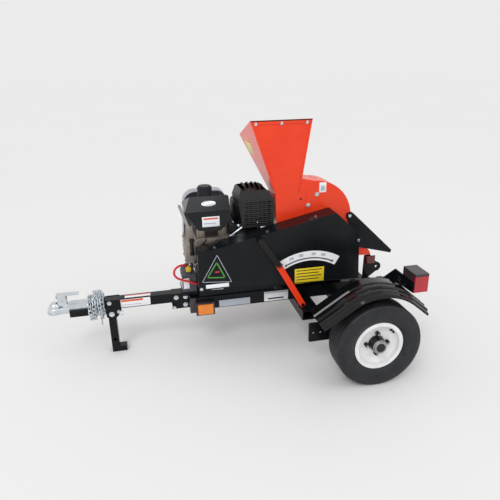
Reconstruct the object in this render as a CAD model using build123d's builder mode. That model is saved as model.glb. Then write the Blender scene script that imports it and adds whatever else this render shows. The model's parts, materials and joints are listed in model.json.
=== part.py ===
from build123d import *
import os
from math import atan, atan2, cos, degrees, hypot, radians, sin, sqrt, tan

os.makedirs("parts", exist_ok=True)

# A tow-behind wood chipper. +X points to the rear (the drawbar points to -X), the belt guard
# is on the -Y side, called the near side here, and +Z is up. The origin lies on the ground
# under the middle of the machine. X positions below are stated from the axle.

# ---------------------------------------------------------------- driving dimensions, in mm
AXLE_X = 592                    # axle, from the middle of the overall length
WHEEL_Z = 202                   # axle height, and the tyre's outer radius
WHEEL_Y = 552.5                 # half of the track
TYRE_HALF_WIDTH = 64
RIM_FLANGE_R = 116              # 8 inch rim
LUG_CIRCLE_R = 50.8             # four studs on a 4 inch circle

FRAME_Z = 227                   # underside of the main frame, top of the axle beam
RAIL_TOP = 294
RAIL_OUT = 100                  # outer face of each side rail, from the centreline
RAIL_IN = 60
RAIL_FRONT, RAIL_REAR = -782, 184
DRAWBAR = 50                    # square tube
DRAWBAR_Z = 248                 # its underside
DRAWBAR_FRONT, DRAWBAR_END = -1262, -430

GUARD_NEAR, GUARD_BACK = -195, -92          # belt guard's outer face and its back plate
HOUSING_NEAR, HOUSING_FAR = -85, 55         # rotor housing's side walls
ROTOR = (-137, 628)             # rotor axis, X from the axle and Z
DISC_R = 175
CRANK = (-640, 480)             # engine crankshaft axis
BELT_Y = -150                   # middle plane of the drive belt
ROTOR_PULLEY_R, ENGINE_PULLEY_R = 52, 42    # at the belt's outer face
ROTOR_SHAFT_R = 17.5
CRANKSHAFT_R = 12.7
RUNNING = 0.05                  # radial clearance of a turning fit
GAP = 0.4                       # clearance between bodies that move past each other

LEVER_PIVOT = (-232, 247)
LEVER_Y = -212
STAND_PIVOT = (-1180, 222)
DEFLECTOR_PIVOT = (50, 659)


# ---------------------------------------------------------------- planes
def side(y):
    """Upright plane across the machine: local x is X from the axle, local y is Z.

    It faces the near side, so extrude goes towards -Y.
    """
    return Plane(origin=(AXLE_X, y, 0), x_dir=(1, 0, 0), z_dir=(0, -1, 0))


def level(z):
    """Level plane: local x is X from the axle, local y is Y. Extrude goes up."""
    return Plane(origin=(AXLE_X, 0, z), x_dir=(1, 0, 0), z_dir=(0, 0, 1))


def across(x):
    """Upright plane square to the travel: local x is Y, local y is Z. Extrude goes to +X."""
    return Plane(origin=(AXLE_X + x, 0, 0), x_dir=(0, 1, 0), z_dir=(1, 0, 0))


def box_between(low, high, mode=Mode.ADD):
    """A box from its low to its high corner, X stated from the axle."""
    size = [b - a for a, b in zip(low, high)]
    middle = [(a + b) / 2 for a, b in zip(low, high)]
    with Locations((AXLE_X + middle[0], middle[1], middle[2])):
        Box(*size, mode=mode)


def hex_bolts(places, y, head_r, head_h, towards):
    """Hexagon heads with a washer under them, on the wall whose face is at y."""
    sign = -1 if towards < 0 else 1
    with BuildSketch(side(y)) as washers:
        with Locations(*places):
            Circle(head_r * 1.35)
    extrude(washers.sketch, amount=-sign * 1.5)
    with BuildSketch(side(y + sign * 1.5)) as heads:
        with Locations(*places):
            RegularPolygon(head_r, 6)
    extrude(heads.sketch, amount=-sign * head_h)


# ================================================================ FRAME AND DRAWBAR
# Rails, front plate, two tubes between the rails, battery tray and tail lamp arms, all welded.
rail_wall = 4
front_plate = 8
battery_front, battery_rear, battery_half, battery_low = -818, -748, 66, 304
lamp_plate = 6
lamp_arm = [(62, 230), (62, 293), (110, 300), (254, 374), (352, 456), (527, 456), (527, 408),
            (392, 397), (300, 330), (150, 230)]
with BuildPart() as main_frame:
    for inner in (RAIL_IN, -RAIL_OUT):
        outer = inner + RAIL_OUT - RAIL_IN
        box_between((RAIL_FRONT, inner, FRAME_Z), (RAIL_REAR, outer, RAIL_TOP))
        box_between((RAIL_FRONT, inner + rail_wall, FRAME_Z + rail_wall),
                    (RAIL_REAR, outer - rail_wall, RAIL_TOP - rail_wall), mode=Mode.SUBTRACT)
    box_between((RAIL_FRONT - front_plate, -RAIL_OUT, 213), (RAIL_FRONT, RAIL_OUT, 298))
    box_between((RAIL_FRONT - front_plate, -DRAWBAR / 2, DRAWBAR_Z),
                (RAIL_FRONT, DRAWBAR / 2, DRAWBAR_Z + DRAWBAR), mode=Mode.SUBTRACT)
    for start in (DRAWBAR_END, 130):
        box_between((start, -RAIL_IN, 232), (start + 40, RAIL_IN, 290))
        box_between((start + 4, -RAIL_IN, 236), (start + 36, RAIL_IN, 286), mode=Mode.SUBTRACT)
    box_between((battery_front - 4, -70, battery_low - 6), (battery_rear + 4, 70, 318))
    box_between((battery_front, -battery_half, battery_low), (battery_rear, battery_half, 320),
                mode=Mode.SUBTRACT)
    for s in (-1, 1):
        with BuildSketch(across(RAIL_REAR)):
            with BuildLine():
                Polyline(*[(s * y, z) for y, z in lamp_arm], close=True)
            make_face()
            with Locations((s * 400, 432), (s * 400, 414)):
                SlotOverall(34, 8, rotation=s * -25, mode=Mode.SUBTRACT)
        extrude(amount=lamp_plate)
main_frame.part.label = "main_frame"
export_step(main_frame.part, "parts/main_frame.step")

# Square tube with the coupler's channel welded to its front end.
channel_front, channel_half, channel_bottom, channel_top = -1378, 38, 234, 269
with BuildPart() as drawbar:
    box_between((channel_front, -channel_half, channel_bottom),
                (DRAWBAR_FRONT, channel_half, channel_top))
    fillet(drawbar.edges().filter_by(Axis.X).group_by(Axis.Z)[-1], 5)
    box_between((channel_front, 5 - channel_half, channel_bottom),
                (DRAWBAR_FRONT - 5, channel_half - 5, channel_top - 5), mode=Mode.SUBTRACT)
    box_between((DRAWBAR_FRONT, -DRAWBAR / 2, DRAWBAR_Z),
                (DRAWBAR_END, DRAWBAR / 2, DRAWBAR_Z + DRAWBAR))
    box_between((DRAWBAR_FRONT, -DRAWBAR / 2 + 4, DRAWBAR_Z + 4),
                (DRAWBAR_END, DRAWBAR / 2 - 4, DRAWBAR_Z + DRAWBAR - 4), mode=Mode.SUBTRACT)
drawbar.part.label = "drawbar"
export_step(drawbar.part, "parts/drawbar.step")

# Plates either side of the drawbar: a pair that bolts it to the frame, with a hitch pin
# below it, and a pair that carries the parking stand.
clamp_front, clamp_t = -876, 7
drawbar_pin_at, drawbar_pin_r = (-866, 228), 5
stand_t, stand_pin_at, stand_pin_r = 5, (-1143, 238), 4
with BuildPart() as drawbar_brackets:
    for low in (-DRAWBAR / 2 - clamp_t, DRAWBAR / 2):
        box_between((clamp_front, low, 213), (RAIL_FRONT - front_plate, low + clamp_t, 298))
    for low in (-DRAWBAR / 2 - stand_t, DRAWBAR / 2):
        with BuildSketch(side(low + stand_t)) as stand_plate:
            with BuildLine():
                Polyline((-1206, 300), (-1136, 300), (-1130, 240), (-1152, 204), (-1206, 204),
                         close=True)
            make_face()
            fillet(stand_plate.vertices().group_by(Axis.Y)[0], 8)
        extrude(amount=stand_t)
    with BuildSketch(side(0)):
        with Locations(drawbar_pin_at):
            Circle(drawbar_pin_r + GAP)
        with Locations(STAND_PIVOT):
            Circle(6)
        with Locations(stand_pin_at):
            Circle(stand_pin_r)
    extrude(amount=60, both=True, mode=Mode.SUBTRACT)
drawbar_brackets.part.label = "drawbar_brackets"
export_step(drawbar_brackets.part, "parts/drawbar_brackets.step")

plate_face = DRAWBAR / 2 + clamp_t
with BuildPart() as drawbar_pin:
    with BuildSketch(side(plate_face + 12)):
        with Locations(drawbar_pin_at):
            Circle(drawbar_pin_r)
    extrude(amount=2 * plate_face + 24)
    with BuildSketch(side(-plate_face - 12)):
        with Locations(drawbar_pin_at):
            Circle(8)
    extrude(amount=5)
drawbar_pin.part.label = "drawbar_pin"
export_step(drawbar_pin.part, "parts/drawbar_pin.step")

# ---------------------------------------------------------------- coupler
ball_x, ball_z, ball_socket_r = -1446, 266, 25.6       # for a 50 mm towing ball
nose_r = 36
latch_pin_at = (-1408, 313)
with BuildPart() as coupler_body:
    with BuildSketch(level(channel_top - 14)):
        with Locations((ball_x, 0)):
            Circle(nose_r)
        with BuildLine():
            Polyline((ball_x, nose_r), (channel_front, 30), (channel_front, -30),
                     (ball_x, -nose_r), close=True)
        make_face()
    extrude(amount=30)
    fillet(coupler_body.edges().group_by(Axis.Z)[-1].group_by(Axis.X)[0], 9)
    with BuildSketch(level(channel_top - 14)):          # the rolled lower rim
        with Locations((ball_x, 0)):
            Circle(nose_r + 5)
    extrude(amount=6)
    with Locations((AXLE_X + ball_x, 0, 282)):          # the dome over the ball
        Sphere(29)
    box_between((channel_front, -26, channel_top), (-1284, 26, channel_top + 28))
    box_between((channel_front - 30, -14, channel_top + 14), (-1340, 14, channel_top + 30))
    box_between((-1424, -14, 290), (-1390, 14, 322))    # the latch's pivot block
    with Locations((AXLE_X + ball_x, 0, ball_z)):
        Sphere(ball_socket_r, mode=Mode.SUBTRACT)
    with Locations((AXLE_X + ball_x, 0, 250)):
        Cylinder(ball_socket_r - 1, 30, mode=Mode.SUBTRACT)
    box_between((-1341, -23, channel_top), (-1281, 23, channel_top + 24), mode=Mode.SUBTRACT)
    with BuildSketch(side(24)):                         # the latch's pin
        with Locations(latch_pin_at):
            Circle(4)
    extrude(amount=48)
coupler_body.part.label = "coupler_body"
export_step(coupler_body.part, "parts/coupler_body.step")

with BuildPart() as coupler_latch:
    for low in (-20, 17):
        box_between((-1428, low, 301), (-1388, low + 3, 345))
    box_between((-1434, -20, 345), (-1326, 20, 348))
    box_between((-1434, -20, 333), (-1431, 20, 345))
    with BuildSketch(side(0)):
        with Locations(latch_pin_at):
            Circle(4 + RUNNING)
    extrude(amount=30, both=True, mode=Mode.SUBTRACT)
coupler_latch.part.label = "coupler_latch"
export_step(coupler_latch.part, "parts/coupler_latch.step")

# ---------------------------------------------------------------- safety chains
# Each chain is wound round the drawbar. A link is a stadium of round wire, and neighbouring
# links are turned a quarter turn, half a right angle each side of the plane of the turn.
wire_r, link_inside, link_half_width = 2.6, 21.8, 8.6
with BuildPart() as chain_link:
    straight = link_inside / 2 + wire_r - link_half_width
    with BuildLine() as link_path:
        Line((-straight, -link_half_width), (straight, -link_half_width))
        ThreePointArc((straight, -link_half_width), (straight + link_half_width, 0),
                      (straight, link_half_width))
        Line((straight, link_half_width), (-straight, link_half_width))
        ThreePointArc((-straight, link_half_width), (-straight - link_half_width, 0),
                      (-straight, -link_half_width))
    with BuildSketch(Plane(origin=(0, -link_half_width, 0), z_dir=(1, 0, 0))):
        Circle(wire_r)
    sweep(path=link_path.wire())


def wound_chain(x, half_y, half_z, middle_z, lean, links):
    """Places of the links of one turn: an oval round the drawbar that leans along X."""
    places = []
    for i in range(links):
        t = 360 * i / links
        here = (lean * sin(radians(t)) * half_z, half_y * cos(radians(t)), half_z * sin(radians(t)))
        along = Vector(lean * cos(radians(t)) * half_z, -half_y * sin(radians(t)),
                       half_z * cos(radians(t)))
        out = Vector(0, cos(radians(t)) / half_y, sin(radians(t)) / half_z)
        plane = Plane(origin=(AXLE_X + x + here[0], here[1], middle_z + here[2]),
                      x_dir=along, z_dir=along.cross(out))
        places.append(plane.location * Location((0, 0, 0), (45 if i % 2 else -45, 0, 0)))
    return places


turns = [(-1243, 48, 48, 273, 0.06, 16), (-1217, 49, 49, 273, -0.05, 16),
         (-1278, 58, 58, 259, -0.05, 18), (-1258, 67, 67, 270, 0.05, 20),
         (-1230, 67, 67, 272, -0.05, 20)]
hook_x, hook_wire_r = -1235, 3
with BuildPart() as safety_chains:
    for turn in turns:
        with Locations(*wound_chain(*turn)):
            add(chain_link.part)
    for middle_z, ring_r, arc in ((184, 8, 360), (166, 10, 270)):   # the free end's hook
        with BuildSketch(Plane(origin=(AXLE_X + hook_x, -ring_r, middle_z),
                               z_dir=(0, 0, 1))) as hook_wire:
            Circle(hook_wire_r)
        revolve(hook_wire.sketch, axis=Axis((AXLE_X + hook_x, 0, middle_z), (1, 0, 0)),
                revolution_arc=arc)
safety_chains.part.label = "safety_chains"
export_step(safety_chains.part, "parts/safety_chains.step")

# ---------------------------------------------------------------- parking stand
stand_face = DRAWBAR / 2 + stand_t
leg_half, leg_front = 22, -1199
with BuildPart() as stand_leg:
    box_between((leg_front, -leg_half, 5), (leg_front + 38, leg_half, STAND_PIVOT[1] + 15))
    box_between((leg_front + 3, 3 - leg_half, 5), (leg_front + 35, leg_half - 3, 250),
                mode=Mode.SUBTRACT)
    box_between((leg_front, -leg_half, 0), (leg_front + 74, leg_half, 5))
    box_between((leg_front + 38, -leg_half, 5), (leg_front + 74, leg_half, 28))
    with BuildSketch(side(0)):
        with Locations(STAND_PIVOT):
            Circle(6 + RUNNING)
        with Locations((leg_front + 19, 72)):
            Circle(8)
    extrude(amount=60, both=True, mode=Mode.SUBTRACT)
stand_leg.part.label = "stand_leg"
export_step(stand_leg.part, "parts/stand_leg.step")

with BuildPart() as stand_pin:                          # sprung pull pin on the near plate
    with BuildSketch(side(-DRAWBAR / 2 - 1)):
        with Locations(stand_pin_at):
            Circle(stand_pin_r - GAP)
    extrude(amount=20)
    with BuildSketch(side(-stand_face - 1)):
        with Locations(stand_pin_at):
            Circle(9)
    extrude(amount=10)
    with BuildSketch(side(-stand_face - 15)):
        with Locations((stand_pin_at[0] + 12, stand_pin_at[1] - 6)):
            Circle(13)
            Circle(10, mode=Mode.SUBTRACT)
    extrude(amount=3)
stand_pin.part.label = "stand_pin"
export_step(stand_pin.part, "parts/stand_pin.step")

# ================================================================ AXLE, WHEELS AND FENDERS
outrigger_front, outrigger_rear, outrigger_out = -243, -153, 249
lug_y, lever_bolt_r = LEVER_Y + 5, 6
with BuildPart() as outrigger_beam:
    with BuildSketch(side(lug_y + 8)):                  # lug and bolt for the clutch lever
        with Locations(LEVER_PIVOT):
            Circle(18)
        with Locations((LEVER_PIVOT[0] + 6, FRAME_Z + 5)):
            Rectangle(48, 10)
    extrude(amount=8)
    with BuildSketch(side(lug_y)):
        with Locations(LEVER_PIVOT):
            Circle(lever_bolt_r)
    extrude(amount=12)
    with BuildSketch(side(LEVER_Y - 5)):
        with Locations(LEVER_PIVOT):
            RegularPolygon(10, 6)
    extrude(amount=6)
    box_between((outrigger_front, -outrigger_out, FRAME_Z - 50),
                (outrigger_rear, outrigger_out, FRAME_Z))
    box_between((outrigger_front + 5, -outrigger_out, FRAME_Z - 45),
                (outrigger_rear - 5, outrigger_out, FRAME_Z - 5), mode=Mode.SUBTRACT)
outrigger_beam.part.label = "outrigger_beam"
export_step(outrigger_beam.part, "parts/outrigger_beam.step")

wheel_axis = Axis((AXLE_X, 0, WHEEL_Z), (0, 1, 0))
spindle_r = 12.7
plate_in, plate_t = 395, 10
plate_out = plate_in + plate_t
fender_in, fender_t = 450, 4
fender_arm_top = 452


def wheel_points(s, points):
    """Profile points on the upright plane through the axle.

    Each point is (distance outboard of the wheel's middle plane, radius); s is -1 on the
    near side and 1 on the far side.
    """
    return [(s * (WHEEL_Y + u), WHEEL_Z + r) for u, r in points]


# Axle tube, side plates, wheel spindles and fender arms, all welded.
with BuildPart() as axle:
    box_between((-25, -plate_in, FRAME_Z - 50), (25, plate_in, FRAME_Z))
    box_between((-21, -plate_in, FRAME_Z - 46), (21, plate_in, FRAME_Z - 4), mode=Mode.SUBTRACT)
    for y in (-plate_in, plate_out):
        with BuildSketch(side(y)):
            with Locations(((-263 + 90) / 2, 195)):
                RectangleRounded(353, 98, 6)
            with Locations((-240, 190), (-205, 190)):
                Circle(6, mode=Mode.SUBTRACT)
        extrude(amount=plate_t)
    for s in (-1, 1):
        with BuildSketch(across(0)) as spindle:
            with BuildLine():
                Polyline(*wheel_points(s, [(plate_out - WHEEL_Y, 0), (plate_out - WHEEL_Y, 30),
                                           (plate_out - WHEEL_Y + 8, 30),
                                           (plate_out - WHEEL_Y + 8, 17), (-34, 17),
                                           (-34, spindle_r), (47, spindle_r), (47, 0)]),
                         close=True)
            make_face()
        revolve(spindle.sketch, axis=wheel_axis)
        for x in (-72, 60):
            low, high = sorted((s * plate_out, s * (plate_out + 5)))
            box_between((x, low, 160), (x + 26, high, fender_arm_top))
            low, high = sorted((s * plate_out, s * fender_in))
            box_between((x, low, fender_arm_top - 5), (x + 26, high, fender_arm_top))
axle.part.label = "axle"
export_step(axle.part, "parts/axle.step")

bead_u, bead_r = 44.8, 102
tread_r, groove_depth = WHEEL_Z, 5
for name, s in (("near", -1), ("far", 1)):
    with BuildPart() as tyre:
        with BuildSketch(across(0)):
            with BuildLine():
                p = wheel_points(s, [(bead_u, bead_r), (bead_u, 118), (TYRE_HALF_WIDTH, 154),
                                     (59, 188), (55, 198), (48, tread_r), (-48, tread_r),
                                     (-55, 198), (-59, 188), (-TYRE_HALF_WIDTH, 154),
                                     (-bead_u, 118), (-bead_u, bead_r)])
                q = wheel_points(s, [(-30, bead_r), (-35, 122), (-55, 154), (-47, 184),
                                     (0, 191), (47, 184), (55, 154), (35, 122), (30, bead_r)])
                Line(p[0], p[1])
                ThreePointArc(p[1], p[2], p[3])
                ThreePointArc(p[3], p[4], p[5])
                Line(p[5], p[6])
                ThreePointArc(p[6], p[7], p[8])
                ThreePointArc(p[8], p[9], p[10])
                Line(p[10], p[11])
                Line(p[11], q[0])
                Line(q[0], q[1])
                ThreePointArc(q[1], q[2], q[3])
                ThreePointArc(q[3], q[4], q[5])
                ThreePointArc(q[5], q[6], q[7])
                Line(q[7], q[8])
                Line(q[8], p[0])
            make_face()
            for u in (-36, -18, 0, 18, 36):             # grooves between the tread's ribs
                with Locations((s * (WHEEL_Y + u), WHEEL_Z + tread_r)):
                    Rectangle(5, 2 * groove_depth, mode=Mode.SUBTRACT)
        revolve(axis=wheel_axis)
    tyre.part.label = f"{name}_tyre"
    export_step(tyre.part, f"parts/{name}_tyre.step")

    with BuildPart() as rim:
        with BuildSketch(across(0)):
            with BuildLine():
                Polyline(*wheel_points(s, [
                    (47.5, RIM_FLANGE_R), (45, RIM_FLANGE_R), (45, 101.8), (24, 101.8),
                    (14, 82), (-24, 82), (-30, 101.8), (-45, 101.8), (-45, RIM_FLANGE_R),
                    (-47.5, RIM_FLANGE_R), (-47.5, 98.8), (-32, 98.8), (-26, 79), (12, 79),
                    (12, 38.5), (16, 38.5), (16, 79), (26, 98.8), (47.5, 98.8)]), close=True)
            make_face()
        revolve(axis=wheel_axis)
        with BuildSketch(side(s * (WHEEL_Y + 25))):
            with Locations((0, WHEEL_Z)):
                with PolarLocations(LUG_CIRCLE_R, 4):
                    Circle(6.5)
        extrude(amount=-s * 40, both=True, mode=Mode.SUBTRACT)
    rim.part.label = f"{name}_rim"
    export_step(rim.part, f"parts/{name}_rim.step")

    with BuildPart() as hub:
        with BuildSketch(across(0)):
            with BuildLine():
                Polyline(*wheel_points(s, [(-32, 22), (-32, 32), (2, 36), (2, 64), (12, 64),
                                           (12, 38.3), (50, 33.5), (50, 22), (30, 22),
                                           (30, 18), (-14, 18), (-14, 22)]), close=True)
            make_face()
        revolve(axis=wheel_axis)
        with BuildSketch(side(s * (WHEEL_Y + 12))):
            with Locations((0, WHEEL_Z)):
                with PolarLocations(LUG_CIRCLE_R, 4):
                    Circle(6.2)
        extrude(amount=-s * 24)
        for u in (-32, 30):                             # its two bearings
            with BuildSketch(across(0)):
                with BuildLine():
                    Polyline(*wheel_points(s, [(u, spindle_r + RUNNING), (u, 22), (u + 16, 22),
                                               (u + 16, spindle_r + RUNNING)]), close=True)
                make_face()
            revolve(axis=wheel_axis)
        with BuildSketch(side(s * (WHEEL_Y + 16))):     # and its wheel nuts
            with Locations((0, WHEEL_Z)):
                with PolarLocations(LUG_CIRCLE_R, 4):
                    RegularPolygon(10.5, 6)
        extrude(amount=-s * 16)
    hub.part.label = f"{name}_hub"
    export_step(hub.part, f"parts/{name}_hub.step")

    with BuildPart() as dust_cap:
        with BuildSketch(across(0)):
            with BuildLine():
                Polyline(*wheel_points(s, [(50, 0), (50, 32), (58, 32), (64.5, 28.5),
                                           (64.5, 22), (62, 21.5), (62, 0)]), close=True)
            make_face()
        revolve(axis=wheel_axis)
    dust_cap.part.label = f"{name}_dust_cap"
    export_step(dust_cap.part, f"parts/{name}_dust_cap.step")

# Fender: one ribbed profile swept round the wheel, with a straight run at each end.
fender_front_turn, fender_rear_turn = -33, 40           # degrees from upright
fender_front_run, fender_rear_run = 160, 90
fender_width = 154
fender_outline = [(0, 234), (0, 270), (52, 270), (58, 264), (76, 264), (81, 269), (92, 268),
                  (97, 260), (112, 259), (117, 263), (127, 261), (132, 254), (146, 250),
                  (fender_width, 245), (fender_width, 238)]
for name, s in (("near", -1), ("far", 1)):
    skin = [(s * (fender_in + u), r) for u, r in fender_outline]
    inner = [(s * (fender_in + u), r) for u, r in
             [(fender_outline[-1][0] - fender_t, fender_outline[-1][1])]
             + [(min(max(u, fender_t), fender_width - fender_t), r - fender_t)
                for u, r in reversed(fender_outline[1:-1])]
             + [(fender_t, fender_outline[0][1])]]
    with BuildPart() as fender:
        for turn in (fender_front_turn, fender_rear_turn):
            lean = radians(turn)
            up = Vector(sin(lean), 0, cos(lean))
            forward = -1 if turn < 0 else 1
            along = Vector(cos(lean), 0, -sin(lean)) * forward
            plane = Plane(origin=(AXLE_X, 0, WHEEL_Z), x_dir=Vector(0, forward, 0), z_dir=along)
            points = [(forward * y, r) for y, r in skin + inner]
            with BuildSketch(plane) as profile:
                with BuildLine():
                    Polyline(*points, close=True)
                make_face()
            extrude(amount=fender_front_run if turn < 0 else fender_rear_run)
            if turn < 0:
                revolve(profile.sketch, axis=wheel_axis,
                        revolution_arc=fender_rear_turn - fender_front_turn)
    fender.part.label = f"{name}_fender"
    export_step(fender.part, f"parts/{name}_fender.step")

# ================================================================ LAMPS
lamp_front, lamp_rear = RAIL_REAR + lamp_plate, 257
lamp_in, lamp_out, lamp_low, lamp_top = 418, 527, 407, 496
lens_t, lens_top = 11, 484


def both_sides(y_low, y_high, x_low, x_high, z_low, z_high, mode=Mode.ADD):
    """The same box on the near and the far side; y is stated outwards from the centreline."""
    for s in (-1, 1):
        low, high = sorted((s * y_low, s * y_high))
        box_between((x_low, low, z_low), (x_high, high, z_high), mode=mode)


with BuildPart() as lamp_housings:
    both_sides(lamp_in, lamp_out - lens_t, lamp_front, lamp_rear - lens_t, lamp_low, lens_top)
    both_sides(lamp_in, lamp_out, lamp_front, lamp_rear, lens_top, lamp_top)
    both_sides(RAIL_OUT, RAIL_OUT + 24, -762, -668, 205, 272)
    both_sides(RAIL_OUT, RAIL_OUT + 6, -790, -762, 215, 296)
lamp_housings.part.label = "lamp_housings"
export_step(lamp_housings.part, "parts/lamp_housings.step")

with BuildPart() as tail_lamp_lenses:
    both_sides(lamp_out - lens_t, lamp_out, lamp_front, lamp_rear, lamp_low, lens_top)
    both_sides(lamp_in, lamp_out - lens_t, lamp_rear - lens_t, lamp_rear, lamp_low, lens_top)
tail_lamp_lenses.part.label = "tail_lamp_lenses"
export_step(tail_lamp_lenses.part, "parts/tail_lamp_lenses.step")

with BuildPart() as marker_lamp_lenses:
    both_sides(RAIL_OUT + 24, RAIL_OUT + 31, -753, -677, 212, 266)
    fillet(marker_lamp_lenses.edges().filter_by(Axis.Y), 3)
marker_lamp_lenses.part.label = "marker_lamp_lenses"
export_step(marker_lamp_lenses.part, "parts/marker_lamp_lenses.step")

# ================================================================ ROTOR HOUSING AND ROTOR
sheet = 4
scroll_r, scroll_top_r = 198, 195           # lower and upper rounds of the housing
scroll_low, scroll_high = 640, 655          # heights of their centres
throat_left, throat_right, throat_z = -341, -218, 793
roof_left, roof_z = -205.6, 866
outlet_x, outlet_high = 58, 600             # rear wall above the chip outlet
outlet_lip = (185, 430)


def scroll_outline(t, left_top, right_side, outlet_side):
    """Closed outline of the housing, inset by t, with its open edges given as points."""
    cx = ROTOR[0]
    r, top_r = scroll_r - t, scroll_top_r - t
    Polyline(*left_top, (cx - r, scroll_low))
    ThreePointArc((cx - r, scroll_low), (cx - r * sin(radians(45)), scroll_low - r * sin(radians(45))),
                  (cx, scroll_low - r))
    Polyline((cx, scroll_low - r), *outlet_side, (cx + top_r, scroll_high))
    ThreePointArc((cx + top_r, scroll_high),
                  (cx + top_r * sin(radians(45)), scroll_high + top_r * sin(radians(45))),
                  (cx, scroll_high + top_r))
    Polyline((cx, scroll_high + top_r), *right_side, left_top[0])


with BuildPart() as rotor_housing:
    with BuildSketch(side(HOUSING_FAR)):
        with BuildLine():
            scroll_outline(0, [(throat_left, throat_z)],
                           [(roof_left, roof_z), (throat_right + 0.4, throat_z)],
                           [outlet_lip, (180, 447), (outlet_x, outlet_high)])
        make_face()
    extrude(amount=HOUSING_FAR - HOUSING_NEAR)
    with BuildSketch(side(HOUSING_FAR - sheet)):
        with BuildLine():
            scroll_outline(sheet, [(throat_left + sheet, throat_z + 6)],
                           [(roof_left + 5, roof_z - sheet - 1), (throat_right + 6.5, throat_z),
                            (throat_right + 6.5, throat_z - sheet),
                            (throat_right - 2, throat_z - sheet), (throat_right - 2, throat_z + 6)],
                           [(outlet_lip[0] + 10, outlet_lip[1] + sheet), (outlet_lip[0] + 10, 480),
                            (outlet_x + 5, outlet_high + 12), (outlet_x - sheet, outlet_high)])
        make_face()
    extrude(amount=HOUSING_FAR - HOUSING_NEAR - 2 * sheet, mode=Mode.SUBTRACT)
    with BuildSketch(side(0)):
        with Locations(ROTOR):
            Circle(22)
    extrude(amount=120, both=True, mode=Mode.SUBTRACT)
rotor_housing.part.label = "rotor_housing"
export_step(rotor_housing.part, "parts/rotor_housing.step")

bearing_t = 23
with BuildPart() as shaft_bearings:
    for start in (HOUSING_NEAR, HOUSING_FAR + bearing_t):
        with BuildSketch(side(start)):
            with Locations(ROTOR):
                Circle(38)
                RectangleRounded(116, 40, 14, rotation=45)
                Circle(ROTOR_SHAFT_R + RUNNING, mode=Mode.SUBTRACT)
        extrude(amount=bearing_t)
shaft_bearings.part.label = "shaft_bearings"
export_step(shaft_bearings.part, "parts/shaft_bearings.step")

with BuildPart() as rotor_shaft:
    with BuildSketch(side(HOUSING_FAR + bearing_t + 8)):
        with Locations(ROTOR):
            Circle(ROTOR_SHAFT_R)
    extrude(amount=HOUSING_FAR + bearing_t + 8 - BELT_Y + 18)
    chamfer(rotor_shaft.edges().filter_by(GeomType.CIRCLE), 1.5)
rotor_shaft.part.label = "rotor_shaft"
export_step(rotor_shaft.part, "parts/rotor_shaft.step")

disc_near, disc_far = -55, -43
rotor_axis = Axis((AXLE_X + ROTOR[0], 0, ROTOR[1]), (0, 1, 0))
with BuildPart() as rotor_disc:
    with BuildSketch(side(disc_far)):
        with Locations(ROTOR):
            Circle(DISC_R)
            with PolarLocations(112, 2, start_angle=15):
                SlotOverall(100, 22, mode=Mode.SUBTRACT)
    extrude(amount=disc_far - disc_near)
    with BuildSketch(side(-28)):
        with Locations(ROTOR):
            Circle(34)
    extrude(amount=48)
    with BuildSketch(side(disc_near)):                  # paddles that throw the chips
        with Locations(ROTOR):
            with PolarLocations(118, 4, start_angle=60):
                Rectangle(100, 6)
    extrude(amount=22)
    with BuildSketch(side(0)):
        with Locations(ROTOR):
            Circle(ROTOR_SHAFT_R)
    extrude(amount=100, both=True, mode=Mode.SUBTRACT)
rotor_disc.part.label = "rotor_disc"
export_step(rotor_disc.part, "parts/rotor_disc.step")

knife_t = 8
with BuildPart() as chipper_knives:
    with BuildSketch(side(disc_far + knife_t)):
        with Locations(ROTOR):
            with PolarLocations(112, 2, start_angle=15):
                with Locations((0, 27)):
                    Rectangle(104, 30)
    extrude(amount=knife_t)
chipper_knives.part.label = "chipper_knives"
export_step(chipper_knives.part, "parts/chipper_knives.step")

with BuildPart() as bed_knife:
    box_between((-331, disc_far + knife_t + 2, 640), (-197, HOUSING_FAR - sheet, 654))
bed_knife.part.label = "bed_knife"
export_step(bed_knife.part, "parts/bed_knife.step")

# ---------------------------------------------------------------- feed hopper
# Four flat walls. The near wall is upright, the far wall leans out for long branches.
hopper_top_left, hopper_top_right, hopper_top = -462, -160, 1149
hopper_far, hopper_far_top = 372, 1031
hopper_t = 3
left_lean = (throat_left - hopper_top_left) / (hopper_top - throat_z)
right_lean = (hopper_top_right - throat_right) / (hopper_top - throat_z)
far_lean = (hopper_far - HOUSING_FAR) / (hopper_far_top - throat_z)


def hopper_body(t, below, above, mode):
    """The space between the hopper's walls, t inside them, from below the throat to above."""
    low, high = throat_z - below, hopper_top + above
    left = [throat_left - left_lean * (z - throat_z) + t * hypot(1, left_lean) for z in (low, high)]
    right = [throat_right + right_lean * (z - throat_z) - t * hypot(1, right_lean)
             for z in (low, high)]
    with BuildSketch(side(hopper_far + 60)) as front_view:
        with BuildLine():
            Polyline((left[0], low), (left[1], high), (right[1], high), (right[0], low), close=True)
        make_face()
    y_near = HOUSING_NEAR + t
    far = [HOUSING_FAR + far_lean * (z - throat_z) - t * hypot(1, far_lean)
           for z in (low, hopper_far_top + above)]
    with BuildSketch(across(hopper_top_left - 60)) as side_view:
        with BuildLine():
            Polyline((y_near, low), (far[0], low), (far[1], hopper_far_top + above),
                     (y_near, high), close=True)
        make_face()
    width = extrude(front_view.sketch, amount=hopper_far + 60 - HOUSING_NEAR + 60,
                    mode=Mode.PRIVATE)
    depth = extrude(side_view.sketch, amount=hopper_top_right - hopper_top_left + 120,
                    mode=Mode.PRIVATE)
    add(width & depth, mode=mode)


with BuildPart() as feed_hopper:
    hopper_body(0, 0, 0, Mode.ADD)
    hopper_body(hopper_t, 20, 40, Mode.SUBTRACT)
feed_hopper.part.label = "feed_hopper"
export_step(feed_hopper.part, "parts/feed_hopper.step")

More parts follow.
